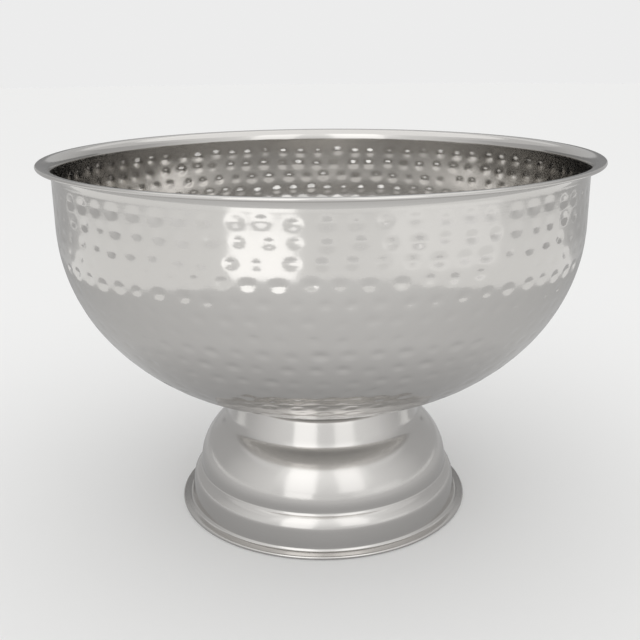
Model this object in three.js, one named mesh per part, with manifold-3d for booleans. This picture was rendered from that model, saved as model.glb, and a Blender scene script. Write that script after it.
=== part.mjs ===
// A footed punch bowl in polished stainless sheet: a hammered bowl with a flared, hemmed lip, clamped by one
// welded stud and a nut to a spun pedestal foot. Millimetres, +Z up, origin where the axis meets the table.
import * as THREE from "three";
import { mergeVertices } from "three/addons/utils/BufferGeometryUtils.js";
import Module from "manifold-3d";

const wasm = await Module();
wasm.setup();

// ---- Driving dimensions ----
const SHEET = 0.8; // wall of the bowl and of the foot
const CONTACT_GAP = 0.3; // between faces that press on each other
const ROUND_SEGMENTS = 56;
const BEND_SAG = 0.3; // the most by which a chord may miss its bend
const WIDEST_STEP = 30; // degrees of bend per chord

const LIP_TOP = 268;
const LIP_FLARE = { bend: 7, flat: 1.8 };
const LIP_HEM = { bend: 0.4, back: 3 }; // the sheet folds under itself

// The bowl's section, from its flat floor out: three bends that join without a corner.
const FLOOR_RADIUS = 34;
const BELLY_BENDS = [
  { turn: 14.2, radius: 199.8 },
  { turn: 38.0, radius: 148.5 },
  { turn: 37.8, radius: 124.3 },
];
const BELLY_TOP = 225; // above this height the wall is upright

// The foot's section, from its flat seat out: a steep neck, a hollow, a short shoulder, a dome, a crease, a
// leaning skirt and a rolled edge. Slopes are in degrees below level.
const SEAT_BEND = 5;
const NECK = { slope: 72, hollow: 10 };
const SHOULDER = { slope: 37, length: 2.5 };
const DOME = { radius: 45, reach: 97, base: 28.4 };
const CREASE = { turn: 55, radius: 2.6 };
const SKIRT = { slope: 82, bend: 12 };
const FOOT_EDGE = { bend: 2.5, flat: 3.7, roll: 1.3, land: 2.5 };

const GASKET = { inner: 14, outer: 33, thick: 1.5 };
const STUD = { flange: 12, shank: 4, length: 22, chamfer: 1 }; // M8
const STUD_CLEARANCE = 0.5;
const SPREADER = { radius: 20, thick: 2, rim: 1 };
const SPRING_WASHER = { radius: 7.4, thick: 2, slitDegrees: 16 };
const NUT = { acrossFlats: 13, thick: 6.5, bore: 4.3, chamfer: 0.9 };

const radians = THREE.MathUtils.degToRad;
const sine = (degrees) => Math.sin(radians(degrees));
const cosine = (degrees) => Math.cos(radians(degrees));

// ---- Heights that follow from them ----
const bellyRise = bendsRise(BELLY_BENDS);
const FLOOR_UNDERSIDE = BELLY_TOP - bellyRise;
const GASKET_TOP = FLOOR_UNDERSIDE - CONTACT_GAP;
const SEAT_TOP = GASKET_TOP - GASKET.thick - CONTACT_GAP;
const SPREADER_TOP = SEAT_TOP - SHEET - CONTACT_GAP;
const SPRING_WASHER_TOP = SPREADER_TOP - SPREADER.thick - CONTACT_GAP;
const NUT_TOP = SPRING_WASHER_TOP - SPRING_WASHER.thick - CONTACT_GAP;

// How far a chain of upward bends climbs, when it sets off level.
function bendsRise(bends) {
  let heading = 0;
  let rise = 0;
  for (const { turn, radius } of bends) {
    rise += radius * (cosine(heading) - cosine(heading + turn));
    heading += turn;
  }
  return rise;
}

// One face of a sheet, seen in section: x is the distance from the axis and y the height. It is drawn as a
// walk of straight runs and bends, so each stretch sets off in the direction in which the last one ended.
class Outline {
  constructor(x, y, heading) {
    this.points = [new THREE.Vector2(x, y)];
    this.headings = [heading];
    this.heading = heading;
  }

  get end() {
    return this.points.at(-1);
  }

  add(x, y) {
    this.points.push(new THREE.Vector2(x, y));
    this.headings.push(this.heading);
  }

  run(length) {
    this.headings[this.headings.length - 1] = this.heading;
    this.add(this.end.x + length * cosine(this.heading), this.end.y + length * sine(this.heading));
    return this;
  }

  // A positive turn is to the left of the walk.
  bend(turn, radius) {
    const side = Math.sign(turn);
    const centre = {
      x: this.end.x - side * radius * sine(this.heading),
      y: this.end.y + side * radius * cosine(this.heading),
    };
    const sagStep = 2 * THREE.MathUtils.radToDeg(Math.acos(Math.max(0, 1 - BEND_SAG / radius)));
    const steps = Math.ceil(Math.abs(turn) / Math.min(sagStep, WIDEST_STEP));
    for (let i = 0; i < steps; i++) {
      this.heading += turn / steps;
      this.add(
        centre.x + side * radius * sine(this.heading),
        centre.y - side * radius * cosine(this.heading),
      );
    }
    return this;
  }

  // The sheet's other face, to the left of the walk, or to its right when thick is negative.
  otherFace(thick) {
    return this.points.map((p, i) => {
      const heading = this.headings[i];
      return new THREE.Vector2(p.x - thick * sine(heading), p.y + thick * cosine(heading));
    });
  }
}

// ---- Solids of revolution ----
function revolve(profile) {
  const geometry = new THREE.LatheGeometry(profile, ROUND_SEGMENTS);
  return geometry.rotateX(Math.PI / 2); // the lathe's axis is Y
}

function ring(inner, outer, bottom, top) {
  const corners = [
    [inner, bottom],
    [outer, bottom],
    [outer, top],
    [inner, top],
    [inner, bottom],
  ];
  return revolve(corners.map(([x, y]) => new THREE.Vector2(x, y)));
}

// ---- Cutting and joining ----
function toSolid(geometry) {
  const bare = geometry.clone();
  bare.deleteAttribute("normal");
  bare.deleteAttribute("uv");
  const merged = mergeVertices(bare, 1e-4);
  return new wasm.Manifold(
    new wasm.Mesh({
      numProp: 3,
      vertProperties: merged.attributes.position.array,
      triVerts: new Uint32Array(merged.index.array),
    }),
  );
}

function toGeometry(solid) {
  const { vertProperties, triVerts } = solid.getMesh();
  const geometry = new THREE.BufferGeometry();
  geometry.setAttribute("position", new THREE.BufferAttribute(vertProperties, 3));
  geometry.setIndex(new THREE.BufferAttribute(triVerts, 1));
  geometry.computeVertexNormals();
  return geometry;
}

// ---- The pieces ----
function bowlShell() {
  const outside = new Outline(0, FLOOR_UNDERSIDE, 0).run(FLOOR_RADIUS);
  for (const { turn, radius } of BELLY_BENDS) outside.bend(turn, radius);
  const flareStart = LIP_TOP - SHEET - LIP_FLARE.bend;
  outside.run(flareStart - BELLY_TOP);
  outside.bend(-90, LIP_FLARE.bend).run(LIP_FLARE.flat);
  outside.bend(-180, LIP_HEM.bend).run(LIP_HEM.back);
  return revolve([...outside.points, ...outside.otherFace(SHEET).reverse()]);
}

function footShell() {
  // The dome is placed first, and the neck is as long as it takes to reach the seat.
  const domeStart = {
    x: DOME.reach - DOME.radius * (1 - sine(SHOULDER.slope)),
    y: DOME.base + DOME.radius * cosine(SHOULDER.slope),
  };
  const seatEdge = new Outline(0, 0, 0).bend(-NECK.slope, SEAT_BEND).end;
  const hollow = new Outline(0, 0, -NECK.slope).bend(NECK.slope - SHOULDER.slope, NECK.hollow);
  const shoulder = hollow.run(SHOULDER.length).end;
  const neckDrop = SEAT_TOP + seatEdge.y + shoulder.y - domeStart.y;
  const neckSpread = (neckDrop * cosine(NECK.slope)) / sine(NECK.slope);
  const seatRadius = domeStart.x - shoulder.x - neckSpread - seatEdge.x;

  const hole = STUD.shank + STUD_CLEARANCE;
  const outside = new Outline(hole, SEAT_TOP, 0).run(seatRadius - hole);
  outside.bend(-NECK.slope, SEAT_BEND).run(neckDrop / sine(NECK.slope));
  outside.bend(NECK.slope - SHOULDER.slope, NECK.hollow).run(SHOULDER.length);
  outside.bend(SHOULDER.slope - 90, DOME.radius);
  outside.bend(CREASE.turn, CREASE.radius);
  outside.bend(90 - CREASE.turn - SKIRT.slope, SKIRT.bend);

  // The skirt runs down to where its last bend ends level, on top of the rolled edge.
  const skirtFoot = new Outline(0, 0, -SKIRT.slope).bend(SKIRT.slope, FOOT_EDGE.bend).end;
  outside.run((outside.end.y + skirtFoot.y - 2 * FOOT_EDGE.roll) / sine(SKIRT.slope));
  outside.bend(SKIRT.slope, FOOT_EDGE.bend).run(FOOT_EDGE.flat);
  outside.bend(-180, FOOT_EDGE.roll).run(FOOT_EDGE.land);

  const inside = outside.otherFace(-SHEET);
  return revolve([...inside, ...outside.points.reverse(), inside[0]]);
}

function seatGasket() {
  return ring(GASKET.inner, GASKET.outer, GASKET_TOP - GASKET.thick, GASKET_TOP);
}

function weldStud() {
  const flangeBottom = GASKET_TOP - GASKET.thick;
  const tip = flangeBottom - STUD.length;
  const profile = [
    [0, tip],
    [STUD.shank - STUD.chamfer, tip],
    [STUD.shank, tip + STUD.chamfer],
    [STUD.shank, flangeBottom],
    [STUD.flange, flangeBottom],
    [STUD.flange, GASKET_TOP],
    [0, GASKET_TOP],
  ];
  return revolve(profile.map(([x, y]) => new THREE.Vector2(x, y)));
}

// A thick washer whose lower edge is turned to a bevel.
function spreaderWasher() {
  const hole = STUD.shank + STUD_CLEARANCE;
  const bottom = SPREADER_TOP - SPREADER.thick;
  const profile = [
    [hole, bottom],
    [SPREADER.radius - SPREADER.rim, bottom],
    [SPREADER.radius, bottom + SPREADER.rim],
    [SPREADER.radius, SPREADER_TOP],
    [hole, SPREADER_TOP],
    [hole, bottom],
  ];
  return revolve(profile.map(([x, y]) => new THREE.Vector2(x, y)));
}

// A split ring, pressed flat by the nut.
function springWasher() {
  const hole = STUD.shank + STUD_CLEARANCE;
  const start = radians(SPRING_WASHER.slitDegrees / 2);
  const finish = 2 * Math.PI - start;
  const section = new THREE.Shape();
  section.absarc(0, 0, SPRING_WASHER.radius, start, finish, false);
  section.absarc(0, 0, hole, finish, start, true);
  section.closePath();
  const geometry = new THREE.ExtrudeGeometry(section, {
    depth: SPRING_WASHER.thick,
    bevelEnabled: false,
    curveSegments: 16,
  });
  return geometry.translate(0, 0, SPRING_WASHER_TOP - SPRING_WASHER.thick);
}

// A hexagonal prism with its corners turned off at both ends.
function hexNut() {
  const cornerRadius = NUT.acrossFlats / 2 / cosine(30);
  const hexagon = new THREE.Shape();
  for (let i = 0; i < 6; i++) {
    const corner = [cornerRadius * cosine(60 * i), cornerRadius * sine(60 * i)];
    if (i === 0) hexagon.moveTo(...corner);
    else hexagon.lineTo(...corner);
  }
  hexagon.closePath();
  hexagon.holes.push(new THREE.Path().absarc(0, 0, NUT.bore, 0, 2 * Math.PI, true));
  const prism = new THREE.ExtrudeGeometry(hexagon, {
    depth: NUT.thick,
    bevelEnabled: false,
    curveSegments: 16,
  });
  const turned = revolve(
    [
      [0, 0],
      [cornerRadius - NUT.chamfer, 0],
      [cornerRadius, NUT.chamfer / 2],
      [cornerRadius, NUT.thick - NUT.chamfer / 2],
      [cornerRadius - NUT.chamfer, NUT.thick],
      [0, NUT.thick],
    ].map(([x, y]) => new THREE.Vector2(x, y)),
  );
  const nut = toGeometry(toSolid(prism).intersect(toSolid(turned)));
  return nut.translate(0, 0, NUT_TOP - NUT.thick);
}

// ---- Finishes ----
const finishes = {
  hammered_steel: new THREE.MeshStandardMaterial({ color: 0xc9c5bf, roughness: 0.12, metalness: 1 }),
  polished_steel: new THREE.MeshStandardMaterial({ color: 0xcbc8c3, roughness: 0.08, metalness: 1 }),
  machined_steel: new THREE.MeshStandardMaterial({ color: 0xb4b6b8, roughness: 0.35, metalness: 1 }),
  black_rubber: new THREE.MeshStandardMaterial({ color: 0x1c1c1d, roughness: 0.85, metalness: 0 }),
};

// ---- The assembly ----
const punchBowl = new THREE.Group();

function fit(name, geometry, finish) {
  const mesh = new THREE.Mesh(geometry, finishes[finish]);
  mesh.name = name;
  punchBowl.add(mesh);
}

fit("bowl_shell", bowlShell(), "hammered_steel");
fit("foot_shell", footShell(), "polished_steel");
fit("seat_gasket", seatGasket(), "black_rubber");
fit("weld_stud", weldStud(), "machined_steel");
fit("spreader_washer", spreaderWasher(), "machined_steel");
fit("spring_washer", springWasher(), "machined_steel");
fit("hex_nut", hexNut(), "machined_steel");

export default punchBowl;
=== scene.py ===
"""A footed punch bowl in hammered, polished stainless steel, standing on a pale studio floor.

The bowl is one piece of sheet. Its smooth wall is raised here from a section of tangent bends, and a
Geometry Nodes tree then presses the rows of hammer marks into it. The foot is spun from the same kind
of section.
"""

import math

import bpy
import numpy as np
from mathutils import Matrix, Vector


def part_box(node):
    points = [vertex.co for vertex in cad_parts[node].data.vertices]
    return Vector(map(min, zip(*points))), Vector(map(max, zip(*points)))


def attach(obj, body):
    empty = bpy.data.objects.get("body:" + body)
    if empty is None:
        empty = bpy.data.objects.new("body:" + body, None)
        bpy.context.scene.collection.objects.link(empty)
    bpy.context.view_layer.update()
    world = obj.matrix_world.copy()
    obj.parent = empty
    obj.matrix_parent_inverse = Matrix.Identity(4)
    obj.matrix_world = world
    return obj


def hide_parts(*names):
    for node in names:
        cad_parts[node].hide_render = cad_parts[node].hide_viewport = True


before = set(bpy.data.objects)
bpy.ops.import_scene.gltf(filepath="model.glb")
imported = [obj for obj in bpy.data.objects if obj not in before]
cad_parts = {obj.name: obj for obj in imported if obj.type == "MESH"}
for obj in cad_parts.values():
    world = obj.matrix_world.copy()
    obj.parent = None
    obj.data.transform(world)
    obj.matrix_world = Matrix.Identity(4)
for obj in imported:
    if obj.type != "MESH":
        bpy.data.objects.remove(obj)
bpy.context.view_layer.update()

MM = 0.001

# ---- Sizes of the sheet work, in metres ----
SHEET = 0.8 * MM

BOWL_LOW, BOWL_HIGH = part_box("bowl_shell")
FOOT_LOW, FOOT_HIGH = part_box("foot_shell")

LIP_TOP = BOWL_HIGH.z
FLOOR_UNDERSIDE = BOWL_LOW.z
FLOOR_RADIUS = 34 * MM
BELLY_BENDS = ((14.2, 199.8 * MM), (38.0, 148.5 * MM), (37.8, 124.3 * MM))  # turn in degrees, radius
LIP_FLARE_BEND = 7 * MM
LIP_FLARE_FLAT = 1.8 * MM
HEM_BEND = 0.4 * MM
HEM_BACK = 3 * MM

SEAT_TOP = FOOT_HIGH.z
STUD_HOLE = 4.5 * MM
SEAT_BEND = 5 * MM
NECK_SLOPE = 72
NECK_HOLLOW = 10 * MM
SHOULDER_SLOPE = 37
SHOULDER = 2.5 * MM
DOME_RADIUS = 45 * MM
DOME_REACH = 97 * MM
DOME_BASE = 28.4 * MM
CREASE_TURN = 55
CREASE_BEND = 2.6 * MM
SKIRT_SLOPE = 82
SKIRT_BEND = 12 * MM
EDGE_BEND = 2.5 * MM
EDGE_FLAT = 3.7 * MM
EDGE_ROLL = 1.3 * MM
EDGE_LAND = 2.5 * MM

# ---- Hammer marks ----
FIRST_ROW = 250.5 * MM  # height of the top row
LAST_ROW_RADIUS = 44 * MM
HAMMER_SIZES = {
    "Row spacing": 11.4 * MM,
    "Mark spacing": 16.6 * MM,
    "Mark width": 13.5 * MM,
    "Mark height": 8.2 * MM,
    "Mark depth": 0.7 * MM,
    "Wander": 1.6 * MM,
    "Row lean": 0.0135,
    "Wall wave": 0.42 * MM,
}

# ---- Fineness of the meshes ----
MARK_GRAIN = 2.08 * MM  # on the upper wall, where the marks show most
BELLY_GRAIN = 3.1 * MM
SMOOTH_GRAIN = 2.0 * MM
LIP_GRAIN = 5.0 * MM
BELLY_TOP = 142 * MM
BEND_STEP = 15  # degrees
FOOT_COLUMNS = 224

# ---- Studio ----
CAMERA_DISTANCE = 0.6586
CAMERA_HEIGHT = 0.3432
CAMERA_TILT = 17.08  # degrees below level
CAMERA_ROLL = -0.45
CAMERA_LENS = 50.3  # millimetres, on a sensor 36 wide
CAMERA_SHIFT = -0.0033
FLOOR_REACH = 8.0
HORIZON_TONE = 0.84
OVERHEAD_TONE = 1.1
MAT_SHADE = 0.62  # painted shade: how dark the glowing mats are made under the foot, where the bowl shades the tabletop
MAT_SHADE_FROM = 0.1
MAT_SHADE_TO = 0.28
ROOM_RADIUS = 1.6
ROOM_SPREAD = 135  # degrees to each side of straight back
CARD_HEIGHT = 1.2
HIGH_CARD_HEIGHT = 2.0
CARD_PANELS = 48


def sine(degrees):
    return math.sin(math.radians(degrees))


def cosine(degrees):
    return math.cos(math.radians(degrees))


# ---- Sections ----
class Section:
    """One face of a sheet in section, walked from the axis outwards.

    x is the distance from the axis, y the height, and heading the way of the walk in degrees.
    """

    def __init__(self, x, y, heading=0.0):
        self.x, self.y, self.heading = x, y, heading
        self.stations = [(x, y, heading)]

    def add(self, x, y):
        self.x, self.y = x, y
        self.stations.append((x, y, self.heading))

    def run(self, length, grain=SMOOTH_GRAIN):
        count = max(1, math.ceil(length / grain))
        start_x, start_y = self.x, self.y
        for i in range(1, count + 1):
            reach = length * i / count
            self.add(start_x + reach * cosine(self.heading), start_y + reach * sine(self.heading))
        return self

    def bend(self, turn, radius, grain=SMOOTH_GRAIN):
        """A positive turn is to the left of the walk."""
        side = math.copysign(radius, turn)
        centre_x = self.x - side * sine(self.heading)
        centre_y = self.y + side * cosine(self.heading)
        arc = math.radians(abs(turn)) * radius
        count = max(math.ceil(arc / grain), math.ceil(abs(turn) / BEND_STEP))
        for _ in range(count):
            self.heading += turn / count
            self.add(centre_x + side * sine(self.heading), centre_y - side * cosine(self.heading))
        return self

    def face(self, offset):
        """The same walk, moved to its left by offset."""
        return [(x - offset * sine(h), y + offset * cosine(h)) for x, y, h in self.stations]

    def rounded_end(self, offset):
        """The half circle that closes the sheet's edge, from this face to the one at offset."""
        half = offset / 2
        points = []
        for degrees in (45, 90, 135):
            forward = abs(half) * sine(degrees)
            across = half * (1 - cosine(degrees))
            points.append((
                self.x + forward * cosine(self.heading) - across * sine(self.heading),
                self.y + forward * sine(self.heading) + across * cosine(self.heading),
            ))
        return points


def bowl_section():
    """The bowl's outside face, from the axis to the end of the hem."""
    section = Section(0.0, FLOOR_UNDERSIDE)
    section.run(FLOOR_RADIUS)
    for turn, radius in BELLY_BENDS:
        section.bend(turn, radius, BELLY_GRAIN if section.y < BELLY_TOP else MARK_GRAIN)
    section.run(LIP_TOP - SHEET - LIP_FLARE_BEND - section.y, MARK_GRAIN)
    section.bend(-90, LIP_FLARE_BEND).run(LIP_FLARE_FLAT)
    section.bend(-180, HEM_BEND).run(HEM_BACK)
    return section


def foot_section():
    """The foot's outside face, from the stud's hole to the end of the rolled edge."""
    neck = Section(0.0, 0.0).bend(-NECK_SLOPE, SEAT_BEND)
    hollow = Section(0.0, 0.0, -NECK_SLOPE).bend(NECK_SLOPE - SHOULDER_SLOPE, NECK_HOLLOW)
    hollow.run(SHOULDER)
    dome_start_x = DOME_REACH - DOME_RADIUS * (1 - sine(SHOULDER_SLOPE))
    dome_start_y = DOME_BASE + DOME_RADIUS * cosine(SHOULDER_SLOPE)
    neck_drop = SEAT_TOP + neck.y + hollow.y - dome_start_y
    seat_radius = dome_start_x - hollow.x - neck_drop / math.tan(math.radians(NECK_SLOPE)) - neck.x

    section = Section(STUD_HOLE, SEAT_TOP)
    section.run(seat_radius - STUD_HOLE)
    section.bend(-NECK_SLOPE, SEAT_BEND).run(neck_drop / sine(NECK_SLOPE))
    section.bend(NECK_SLOPE - SHOULDER_SLOPE, NECK_HOLLOW).run(SHOULDER)
    section.bend(SHOULDER_SLOPE - 90, DOME_RADIUS)
    section.bend(CREASE_TURN, CREASE_BEND)
    section.bend(90 - CREASE_TURN - SKIRT_SLOPE, SKIRT_BEND)
    flare = Section(0.0, 0.0, -SKIRT_SLOPE).bend(SKIRT_SLOPE, EDGE_BEND)
    section.run((section.y + flare.y - 2 * EDGE_ROLL) / sine(SKIRT_SLOPE))
    section.bend(SKIRT_SLOPE, EDGE_BEND).run(EDGE_FLAT)
    section.bend(-180, EDGE_ROLL).run(EDGE_LAND)
    return section


# ---- Meshes from sections ----
def make_object(name, vertices, faces):
    mesh = bpy.data.meshes.new(name)
    mesh.from_pydata(vertices, [], faces)
    mesh.shade_smooth()
    piece = bpy.data.objects.new(name, mesh)
    bpy.context.scene.collection.objects.link(piece)
    return piece


def spin(name, loop, columns):
    """Spins a closed loop of section points once round the axis. Its first stretch, outwards, faces up."""
    vertices = []
    for x, z in loop:
        for column in range(columns):
            angle = 2 * math.pi * column / columns
            vertices.append((x * math.cos(angle), x * math.sin(angle), z))
    faces = []
    for ring in range(len(loop)):
        this = ring * columns
        following = (ring + 1) % len(loop) * columns
        for column in range(columns):
            beside = (column + 1) % columns
            faces.append((this + column, following + column, following + beside, this + beside))
    return make_object(name, vertices, faces)


def stitch(ring_a, ring_b):
    """Triangles between two rings with their own counts. A ring is (first vertex, count, first turn)."""
    first_a, count_a, turn_a = ring_a
    first_b, count_b, turn_b = ring_b
    a = b = 0
    faces = []
    while a < count_a or b < count_b:
        corner_a = first_a + a % count_a
        corner_b = first_b + b % count_b
        a_is_behind = turn_a + (a + 1) / count_a <= turn_b + (b + 1) / count_b
        if b == count_b or (a < count_a and a_is_behind):
            faces.append((corner_a, first_a + (a + 1) % count_a, corner_b))
            a += 1
        else:
            faces.append((corner_a, first_b + (b + 1) % count_b, corner_b))
            b += 1
    return [face for face in faces if len(set(face)) == 3]


def corners_round(x, z):
    """How many vertices go once round the bowl at this place."""
    if x < SHEET / 10:
        return 1
    grain = LIP_GRAIN
    if z < FIRST_ROW + 8 * MM:
        grain = MARK_GRAIN
    if z < BELLY_TOP:
        grain = BELLY_GRAIN
    return max(8, round(2 * math.pi * x / grain))


def raise_shell(name, section, thick):
    """A closed shell of sheet, from the axis round its edge and back to the axis.

    Each vertex keeps its place on the sheet's middle and the way in which a hammer would press it.
    """
    headings = [heading for _, _, heading in section.stations]
    middle = section.face(thick / 2)
    walk = list(zip(section.face(0), middle, headings))
    walk += [(point, middle[-1], headings[-1]) for point in section.rounded_end(thick)]
    walk += list(zip(section.face(thick), middle, headings))[::-1]

    vertices, middles, ways, rings, faces = [], [], [], [], []
    for number, ((x, z), (middle_x, middle_z), heading) in enumerate(walk):
        count = corners_round(x, z)
        first_turn = 0.5 * (number % 2) / count
        rings.append((len(vertices), count, first_turn))
        for i in range(count):
            angle = 2 * math.pi * (first_turn + i / count)
            across, along = math.cos(angle), math.sin(angle)
            vertices.append((x * across, x * along, z))
            middles.append((middle_x * across, middle_x * along, middle_z))
            ways.append((-sine(heading) * across, -sine(heading) * along, cosine(heading)))
    for ring_a, ring_b in zip(rings, rings[1:]):
        faces += stitch(ring_a, ring_b)

    piece = make_object(name, vertices, faces)
    for attribute_name, values in (("sheet_middle", middles), ("pressed_way", ways)):
        attribute = piece.data.attributes.new(attribute_name, "FLOAT_VECTOR", "POINT")
        attribute.data.foreach_set("vector", np.array(values, dtype=np.float32).ravel())
    return piece


# ---- Wiring node trees ----
class Wiring:
    """Adds nodes to a tree. An input is given as a value or as another node's output."""

    def __init__(self, tree):
        self.tree = tree

    def feed(self, socket, value):
        if isinstance(value, bpy.types.NodeSocket):
            self.tree.links.new(value, socket)
        else:
            socket.default_value = value

    def node(self, kind, inputs=(), **settings):
        """inputs maps a live socket's name, or its place, to what it gets."""
        made = self.tree.nodes.new(kind)
        for name, value in settings.items():
            setattr(made, name, value)
        for key, value in dict(inputs).items():
            by_name = isinstance(key, str)
            named = (s for s in made.inputs if s.name == key and s.enabled)
            self.feed(next(named) if by_name else made.inputs[key], value)
        return made

    def out(self, kind, inputs=(), **settings):
        """The first live output of a new node."""
        return next(s for s in self.node(kind, inputs, **settings).outputs if s.enabled)

    def axis(self, name, vector):
        """One of a vector's three numbers."""
        return self.node("ShaderNodeSeparateXYZ", {0: vector}).outputs[name]

    def math(self, operation, *values):
        return self.out("ShaderNodeMath", enumerate(values), operation=operation)

    def vector(self, operation, *values):
        made = self.node("ShaderNodeVectorMath", operation=operation)
        for socket, value in zip((s for s in made.inputs if s.enabled), values):
            self.feed(socket, value)
        return next(s for s in made.outputs if s.enabled)

    def scaled(self, vector, factor):
        return self.out("ShaderNodeVectorMath", {"Vector": vector, "Scale": factor}, operation="SCALE")


# ---- Hammer marks ----
def stored(w, name, data_type):
    return w.out("GeometryNodeInputNamedAttribute", {"Name": name}, data_type=data_type)


def strikes(w, given):
    """Points where the hammer fell.

    They lie in rings at even steps down the section. Each ring leans a little, and its marks wander.
    """
    line = w.node("GeometryNodeObjectInfo", {"Object": given["Section"]}).outputs["Geometry"]
    line = w.out(
        "GeometryNodeResampleCurve",
        {"Curve": line, "Length": given["Row spacing"]},
        mode="LENGTH",
    )
    stations = w.out("GeometryNodeCurveToPoints", {"Curve": line}, mode="EVALUATED")
    place = w.out("GeometryNodeInputPosition")
    stations = w.out(
        "GeometryNodeStoreNamedAttribute",
        {"Geometry": stations, "Name": "reach", "Value": w.axis("X", place)},
        data_type="FLOAT",
        domain="POINT",
    )
    on_axis = w.out("ShaderNodeCombineXYZ", {"Z": w.axis("Z", place)})
    stations = w.out("GeometryNodeSetPosition", {"Geometry": stations, "Position": on_axis})
    reach = stored(w, "reach", "FLOAT")
    start = w.out(
        "FunctionNodeRandomValue",
        {"Min": 0.0, "Max": 2 * math.pi, "Seed": given["Seed"]},
        data_type="FLOAT",
    )
    circle = w.out("GeometryNodeCurvePrimitiveCircle", {"Resolution": 128, "Radius": 1.0}, mode="RADIUS")
    rows = w.out(
        "GeometryNodeInstanceOnPoints",
        {
            "Points": stations,
            "Instance": circle,
            "Rotation": w.out("ShaderNodeCombineXYZ", {"Z": start}),
            "Scale": w.out("ShaderNodeCombineXYZ", {"X": reach, "Y": reach, "Z": 1.0}),
        },
    )
    rows = w.out("GeometryNodeRealizeInstances", {"Geometry": rows})
    marks = w.out(
        "GeometryNodeCurveToPoints",
        {"Curve": rows, "Length": given["Mark spacing"]},
        mode="LENGTH",
    )
    stray = w.out(
        "FunctionNodeRandomValue",
        {"Min": (-1.0, -1.0, -0.6), "Max": (1.0, 1.0, 0.6), "Seed": given["Seed"]},
        data_type="FLOAT_VECTOR",
    )
    drop = w.math("MULTIPLY", w.axis("Y", place), given["Row lean"])
    lean = w.out("ShaderNodeCombineXYZ", {"Z": drop})
    move = w.vector("SUBTRACT", w.scaled(stray, given["Wander"]), lean)
    return w.out("GeometryNodeSetPosition", {"Geometry": marks, "Offset": move})


def at_strike(w, marks, nearest, value, data_type):
    """A value of the nearest strike."""
    inputs = {"Geometry": marks, "Value": value, "Index": nearest}
    return w.out("GeometryNodeSampleIndex", inputs, data_type=data_type, domain="POINT")


def between(w, least, most, seed):
    inputs = {"Min": least, "Max": most, "Seed": seed}
    return w.out("FunctionNodeRandomValue", inputs, data_type="FLOAT")


def hammer_tree():
    """Presses smooth elliptical dents into a wall, in rows worked out from the wall's section."""
    tree = bpy.data.node_groups.new("hammer_marks", "GeometryNodeTree")
    tree.interface.new_socket("Wall", in_out="INPUT", socket_type="NodeSocketGeometry")
    tree.interface.new_socket("Section", in_out="INPUT", socket_type="NodeSocketObject")
    tree.interface.new_socket("Finish", in_out="INPUT", socket_type="NodeSocketMaterial")
    tree.interface.new_socket("Seed", in_out="INPUT", socket_type="NodeSocketInt")
    for name in HAMMER_SIZES:
        tree.interface.new_socket(name, in_out="INPUT", socket_type="NodeSocketFloat")
    tree.interface.new_socket("Wall", in_out="OUTPUT", socket_type="NodeSocketGeometry")

    w = Wiring(tree)
    given = tree.nodes.new("NodeGroupInput").outputs
    marks = strikes(w, given)

    middle = stored(w, "sheet_middle", "FLOAT_VECTOR")
    way = stored(w, "pressed_way", "FLOAT_VECTOR")
    nearest = w.out("GeometryNodeSampleNearest", {"Geometry": marks, "Sample Position": middle})
    strike = at_strike(w, marks, nearest, w.out("GeometryNodeInputPosition"), "FLOAT_VECTOR")
    girth = at_strike(w, marks, nearest, between(w, 0.78, 1.12, 3), "FLOAT")
    force = at_strike(w, marks, nearest, between(w, 0.5, 1.12, 4), "FLOAT")

    # The way from the strike, within the wall: round the bowl, and up or down it.
    offset = w.vector("SUBTRACT", middle, strike)
    through = w.vector("DOT_PRODUCT", offset, way)
    within = w.vector("SUBTRACT", offset, w.scaled(way, through))
    round_way = w.vector("NORMALIZE", w.vector("CROSS_PRODUCT", (0.0, 0.0, 1.0), middle))
    across = w.vector("DOT_PRODUCT", within, round_way)
    up = w.vector("LENGTH", w.vector("SUBTRACT", within, w.scaled(round_way, across)))
    half_width = w.math("MULTIPLY", w.math("MULTIPLY", given["Mark width"], 0.5), girth)
    half_height = w.math("MULTIPLY", w.math("MULTIPLY", given["Mark height"], 0.5), girth)
    apart = w.math(
        "ADD",
        w.math("POWER", w.math("ABSOLUTE", w.math("DIVIDE", across, half_width)), 2.0),
        w.math("POWER", w.math("DIVIDE", up, half_height), 2.0),
    )
    hollow = w.math("POWER", w.math("MAXIMUM", w.math("SUBTRACT", 1.0, apart), 0.0), 2.6)
    dent = w.math("MULTIPLY", w.math("MULTIPLY", hollow, given["Mark depth"]), force)

    # Between the marks the whole wall is left a little uneven. All of it dies out away from the rows,
    # towards the lip and the floor.
    noise = w.node("ShaderNodeTexNoise", {"Vector": middle, "Scale": 22.0, "Detail": 3.0}).outputs[0]
    away = w.vector("LENGTH", offset)
    hammered = w.out(
        "ShaderNodeMapRange",
        {"Value": away, "From Min": 8 * MM, "From Max": 14 * MM, "To Min": 1.0, "To Max": 0.0},
    )
    wave = w.math("MULTIPLY", w.math("SUBTRACT", noise, 0.5), given["Wall wave"])

    pressed = w.scaled(way, w.math("MULTIPLY", w.math("ADD", dent, wave), hammered))
    wall = w.out("GeometryNodeSetPosition", {"Geometry": given["Wall"], "Offset": pressed})
    wall = w.out("GeometryNodeRealizeInstances", {"Geometry": wall})
    wall = w.out("GeometryNodeSetMaterial", {"Geometry": wall, "Material": given["Finish"]})
    w.node("NodeGroupOutput", {"Wall": wall})
    return tree


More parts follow.
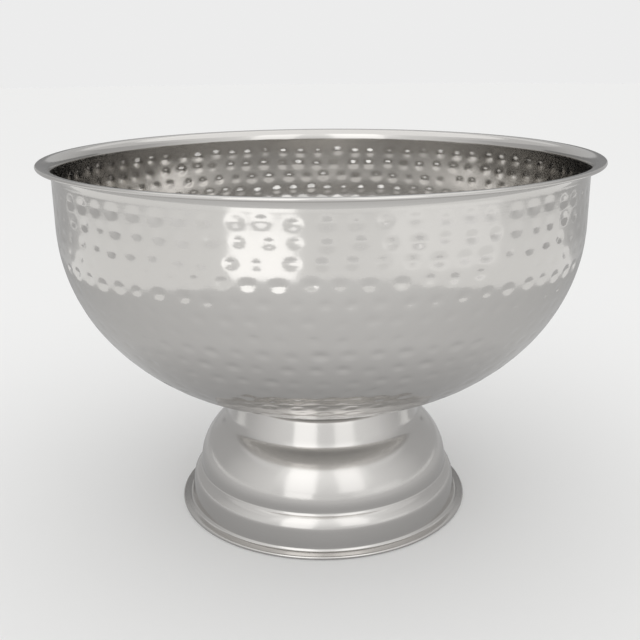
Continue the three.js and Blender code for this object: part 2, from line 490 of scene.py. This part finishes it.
def apply_tree(piece, tree, values):
    """Runs a Geometry Nodes tree on a piece and keeps the result as its plain mesh."""
    modifier = piece.modifiers.new(tree.name, "NODES")
    modifier.node_group = tree
    for item in tree.interface.items_tree:
        if item.in_out == "INPUT" and item.name in values:
            modifier[item.identifier] = values[item.name]
    bpy.context.view_layer.update()
    evaluated = piece.evaluated_get(bpy.context.evaluated_depsgraph_get())
    mesh = bpy.data.meshes.new_from_object(evaluated)
    piece.modifiers.remove(modifier)
    piece.data = mesh
    for name in ("sheet_middle", "pressed_way"):
        if name in mesh.attributes:
            mesh.attributes.remove(mesh.attributes[name])


def row_line(section):
    """The middle of the sheet from the first row of marks down to the last, as a curve in the XZ plane."""
    points = [
        (x, z) for x, z in section.face(SHEET / 2) if z < FIRST_ROW and LAST_ROW_RADIUS < x
    ][::-1]
    points.insert(0, (points[0][0], FIRST_ROW))
    curve = bpy.data.curves.new("row_line", "CURVE")
    curve.dimensions = "3D"
    spline = curve.splines.new("POLY")
    spline.points.add(len(points) - 1)
    for point, (x, z) in zip(spline.points, points):
        point.co = (x, 0.0, z, 1.0)
    line = bpy.data.objects.new("row_line", curve)
    bpy.context.scene.collection.objects.link(line)
    return line


# ---- Finishes ----
def new_finish(name):
    material = bpy.data.materials.new(name)
    material.use_nodes = True
    tree = material.node_tree
    tree.nodes.clear()
    return material, Wiring(tree)


def turning_lines(w, place, scale):
    """Fine lines round the axis, as a lathe or a polishing mop leaves them."""
    flat = w.vector("MULTIPLY", place, (1.0, 1.0, 0.0))
    turned = w.out("ShaderNodeCombineXYZ", {"X": w.vector("LENGTH", flat), "Z": w.axis("Z", place)})
    return w.node("ShaderNodeTexNoise", {"Vector": turned, "Scale": scale, "Detail": 2.0}).outputs[0]


def polished_steel(name, tint_low, tint_high, gloss_low, gloss_high):
    """Polished stainless sheet, with faint smears, a fine ripple and turning marks round the axis."""
    material, w = new_finish(name)
    place = w.node("ShaderNodeTexCoord").outputs["Object"]
    smears = w.node("ShaderNodeTexNoise", {"Vector": place, "Scale": 16.0, "Detail": 4.0}).outputs[0]
    cloud = w.node("ShaderNodeTexNoise", {"Vector": place, "Scale": 5.0, "Detail": 2.0}).outputs[0]
    lines = turning_lines(w, place, 900.0)
    ripple = w.node("ShaderNodeTexNoise", {"Vector": place, "Scale": 260.0, "Detail": 2.0}).outputs[0]

    tint = w.node("ShaderNodeMix", {"Factor": cloud}, data_type="RGBA")
    sides = (s for s in tint.inputs if s.enabled and s.type == "RGBA")
    for socket, colour in zip(sides, (tint_low, tint_high)):
        socket.default_value = (*colour, 1.0)
    colour = next(s for s in tint.outputs if s.enabled)
    gloss = w.out(
        "ShaderNodeMapRange",
        {"Value": smears, "From Min": 0.35, "From Max": 0.68, "To Min": gloss_low, "To Max": gloss_high},
    )
    height = w.math("ADD", w.math("MULTIPLY", lines, 0.4), ripple)
    bump = w.out("ShaderNodeBump", {"Height": height, "Strength": 0.05, "Distance": 0.0004})
    shader = w.node(
        "ShaderNodeBsdfPrincipled",
        {"Base Color": colour, "Metallic": 1.0, "Roughness": gloss, "Normal": bump},
    )
    w.node("ShaderNodeOutputMaterial", {"Surface": shader.outputs[0]})
    return material


def machined_steel():
    """Dull, as it comes off the lathe."""
    material, w = new_finish("machined_steel")
    place = w.node("ShaderNodeTexCoord").outputs["Object"]
    lines = turning_lines(w, place, 2500.0)
    stain = w.node("ShaderNodeTexNoise", {"Vector": place, "Scale": 180.0, "Detail": 3.0}).outputs[0]
    gloss = w.out("ShaderNodeMapRange", {"Value": stain, "To Min": 0.28, "To Max": 0.5})
    bump = w.out("ShaderNodeBump", {"Height": lines, "Strength": 0.3, "Distance": 0.0002})
    shader = w.node(
        "ShaderNodeBsdfPrincipled",
        {"Base Color": (0.42, 0.42, 0.42, 1.0), "Metallic": 1.0, "Roughness": gloss, "Normal": bump},
    )
    w.node("ShaderNodeOutputMaterial", {"Surface": shader.outputs[0]})
    return material


def black_rubber():
    material, w = new_finish("black_rubber")
    place = w.node("ShaderNodeTexCoord").outputs["Object"]
    grain = w.node("ShaderNodeTexNoise", {"Vector": place, "Scale": 1500.0, "Detail": 2.0}).outputs[0]
    gloss = w.out("ShaderNodeMapRange", {"Value": grain, "To Min": 0.6, "To Max": 0.85})
    bump = w.out("ShaderNodeBump", {"Height": grain, "Strength": 0.4, "Distance": 0.0002})
    shader = w.node(
        "ShaderNodeBsdfPrincipled",
        {"Base Color": (0.018, 0.018, 0.019, 1.0), "Roughness": gloss, "Normal": bump},
    )
    w.node("ShaderNodeOutputMaterial", {"Surface": shader.outputs[0]})
    return material


# ---- Pieces ----
def make_bowl(finish):
    section = bowl_section()
    piece = raise_shell("hammered_bowl", section, SHEET)
    line = row_line(section)
    apply_tree(piece, hammer_tree(), {"Section": line, "Finish": finish, "Seed": 11, **HAMMER_SIZES})
    bpy.data.objects.remove(line)
    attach(piece, "root")
    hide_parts("bowl_shell")
    return piece


def make_foot(finish):
    section = foot_section()
    loop = section.face(0) + section.rounded_end(-SHEET) + section.face(-SHEET)[::-1]
    piece = spin("pedestal_foot", loop, FOOT_COLUMNS)
    piece.data.materials.append(finish)
    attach(piece, "root")
    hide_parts("foot_shell")
    return piece


def refinish(node, finish):
    """Gives a CAD node's object its better material."""
    for material_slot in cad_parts[node].material_slots:
        material_slot.material = finish


# ---- Studio ----
def floor():
    bpy.ops.mesh.primitive_circle_add(vertices=64, radius=FLOOR_REACH, fill_type="NGON", location=(0, 0, 0))
    sheet = bpy.context.object
    sheet.name = "studio_floor"
    sheet.location.z = FOOT_LOW.z - 0.1 * MM
    material, w = new_finish("studio_floor")
    shader = w.node(
        "ShaderNodeBsdfPrincipled",
        {"Base Color": (0.8, 0.8, 0.795, 1.0), "Roughness": 1.0, "Specular IOR Level": 0.0},
    )
    w.node("ShaderNodeOutputMaterial", {"Surface": shader.outputs[0]})
    sheet.data.materials.append(material)


def softbox(name, place, aim, width, height, radiance):
    """A rectangular area light that shows in reflections with the given radiance."""
    light = bpy.data.lights.new(name, "AREA")
    light.shape = "RECTANGLE"
    light.size = width
    light.size_y = height
    light.energy = radiance * math.pi * width * height
    lamp = bpy.data.objects.new(name, light)
    lamp.location = place
    lamp.rotation_euler = (Vector(aim) - Vector(place)).to_track_quat("-Z", "Y").to_euler()
    lamp.visible_camera = False
    bpy.context.scene.collection.objects.link(lamp)


def only_reflected(card, tones):
    """Makes a card that glows with set tones and only shows in reflections: a painted reflection, standing
    in for a studio's grey flags.

    tones maps places along Y to the card's tone there: painted light and shade, seen in reflections. Near
    the axis it is darker: painted shade of the bowl and foot on the tabletop.
    """
    material, w = new_finish(card.name)
    place = w.node("ShaderNodeNewGeometry").outputs["Position"]
    stops = sorted(tones)
    first, last = stops[0], stops[-1]
    # painted light and shade: the card's glowing tone changes along Y
    along = w.out("ShaderNodeMapRange", {"Value": w.axis("Y", place), "From Min": first, "From Max": last})
    ramp = w.node("ShaderNodeValToRGB", {0: along})
    for _ in stops[2:]:
        ramp.color_ramp.elements.new(0.5)
    for stop, element in zip(stops, ramp.color_ramp.elements):
        tone = tones[stop]
        element.position = (stop - first) / (last - first)
        element.color = (tone, tone, tone, 1.0)
    away = w.vector("LENGTH", place)
    # painted shade: the card glows dimmer near the axis, for the shade of the bowl and foot on the tabletop
    shade = w.out(
        "ShaderNodeMapRange",
        {"Value": away, "From Min": MAT_SHADE_FROM, "From Max": MAT_SHADE_TO, "To Min": MAT_SHADE},
    )
    glow = w.out("ShaderNodeEmission", {"Color": ramp.outputs[0], "Strength": shade})
    w.node("ShaderNodeOutputMaterial", {"Surface": glow})
    card.data.materials.append(material)
    card.visible_camera = False
    card.visible_diffuse = False
    card.visible_shadow = False


def painted_floor_reflections():
    """Glowing cards, seen only in reflections, that stand in for the tabletop the bowl stands on and the
    floor behind it; their tones are painted light and shade, lighter in front and darker behind.
    """
    height = FOOT_LOW.z - 0.05 * MM
    bpy.ops.mesh.primitive_circle_add(
        vertices=96, radius=1.0, fill_type="NGON", location=(0, 0.4, height)
    )
    mat = bpy.context.object
    mat.name = "grey_mat"
    mat.scale = (0.6, 1.35, 1.0)
    # painted light and shade: the tabletop glows lighter in front, darker behind and under the foot
    only_reflected(mat, {-0.95: 0.82, -0.55: 0.74, 0.0: 0.58, 0.5: 0.42, 1.7: 0.47})
    bpy.ops.mesh.primitive_plane_add(size=1.0, location=(0, 1.15, height - 0.02 * MM))
    back = bpy.context.object
    back.name = "back_mat"
    back.scale = (2.6, 1.5, 1.0)
    # painted shade: the floor behind the bowl glows darker
    only_reflected(back, {0.4: 0.6, 0.8: 0.45, 1.9: 0.5})


def curved_card(name, radius, low, high, spread, tones):
    """An upright card bent round the back of the bowl, spread degrees to each side."""
    vertices = []
    for i in range(CARD_PANELS + 1):
        angle = 90 + spread * (2 * i / CARD_PANELS - 1)
        across, along = radius * cosine(angle), radius * sine(angle)
        vertices += [(across, along, low), (across, along, high)]
    faces = [(2 * i, 2 * i + 2, 2 * i + 3, 2 * i + 1) for i in range(CARD_PANELS)]
    only_reflected(make_object(name, vertices, faces), tones)


def painted_room_reflections():
    """Two glowing cards, one above the other, close off the back of the room in reflections only: painted
    reflections of walls, lighter towards their front ends. A dark one stands near the foot: a painted dark
    reflection.
    """
    # painted light and shade: the cards' tones fall from their front ends towards the back
    low_tones = {-1.2: 0.92, 0.3: 0.5, 1.2: 0.46, 1.6: 0.55}
    high_tones = {-1.2: 0.95, 0.3: 0.68, 1.6: 0.68}
    curved_card("grey_wall", ROOM_RADIUS, 0.0, CARD_HEIGHT, ROOM_SPREAD, low_tones)
    curved_card("grey_wall_top", ROOM_RADIUS, CARD_HEIGHT, HIGH_CARD_HEIGHT, ROOM_SPREAD, high_tones)
    curved_card("dark_card", 0.7, 0.17, 0.39, 40, {0.4: 0.25, 0.7: 0.25})


def sky():
    """A white room: as pale as the floor at the horizon, and a little brighter overhead."""
    world = bpy.data.worlds.new("studio")
    world.use_nodes = True
    w = Wiring(world.node_tree)
    rise = w.axis("Z", w.node("ShaderNodeTexCoord").outputs["Generated"])
    tone = w.out(
        "ShaderNodeMapRange",
        {
            "Value": rise,
            "From Min": 0.05,
            "From Max": 0.6,
            "To Min": HORIZON_TONE,
            "To Max": OVERHEAD_TONE,
        },
    )
    background = world.node_tree.nodes["Background"]
    background.inputs["Color"].default_value = (1.0, 1.0, 1.0, 1.0)
    w.feed(background.inputs["Strength"], tone)
    bpy.context.scene.world = world


def camera():
    data = bpy.data.cameras.new("camera")
    data.lens = CAMERA_LENS
    data.sensor_width = 36.0
    data.shift_x = CAMERA_SHIFT
    data.clip_start = 0.02
    eye = bpy.data.objects.new("camera", data)
    tilt = Matrix.Rotation(math.radians(90 - CAMERA_TILT), 4, "X")
    roll = Matrix.Rotation(math.radians(CAMERA_ROLL), 4, "Z")
    eye.matrix_world = Matrix.Translation((0.0, -CAMERA_DISTANCE, CAMERA_HEIGHT)) @ tilt @ roll
    bpy.context.scene.collection.objects.link(eye)
    bpy.context.scene.camera = eye


camera()
floor()
sky()
softbox("front_left", (-0.5, -1.3, 1.2), (-0.1, 0.0, 0.9), 0.75, 1.95, 0.5)
softbox("front_right", (0.62, -1.3, 1.2), (0.1, 0.0, 0.9), 0.65, 1.95, 0.35)
softbox("low_left", (-0.3, -0.8, 0.07), (-0.07, -0.19, 0.2), 0.36, 0.14, 0.55)
softbox("low_right", (0.78, -0.75, 0.08), (0.1, -0.18, 0.2), 0.9, 0.16, 0.12)
softbox("back_high", (0.08, 1.4, 1.55), (0.0, 0.0, 0.9), 0.75, 0.9, 0.18)
painted_floor_reflections()
painted_room_reflections()
bpy.context.scene.view_settings.view_transform = "Standard"

hammered = polished_steel("hammered_steel", (0.625, 0.61, 0.588), (0.675, 0.66, 0.638), 0.1, 0.15)
polished = polished_steel("polished_steel", (0.61, 0.595, 0.575), (0.66, 0.645, 0.625), 0.14, 0.19)
make_bowl(hammered)
make_foot(polished)
machined = machined_steel()
for hardware in ("weld_stud", "spreader_washer", "spring_washer", "hex_nut"):
    refinish(hardware, machined)
refinish("seat_gasket", black_rubber())
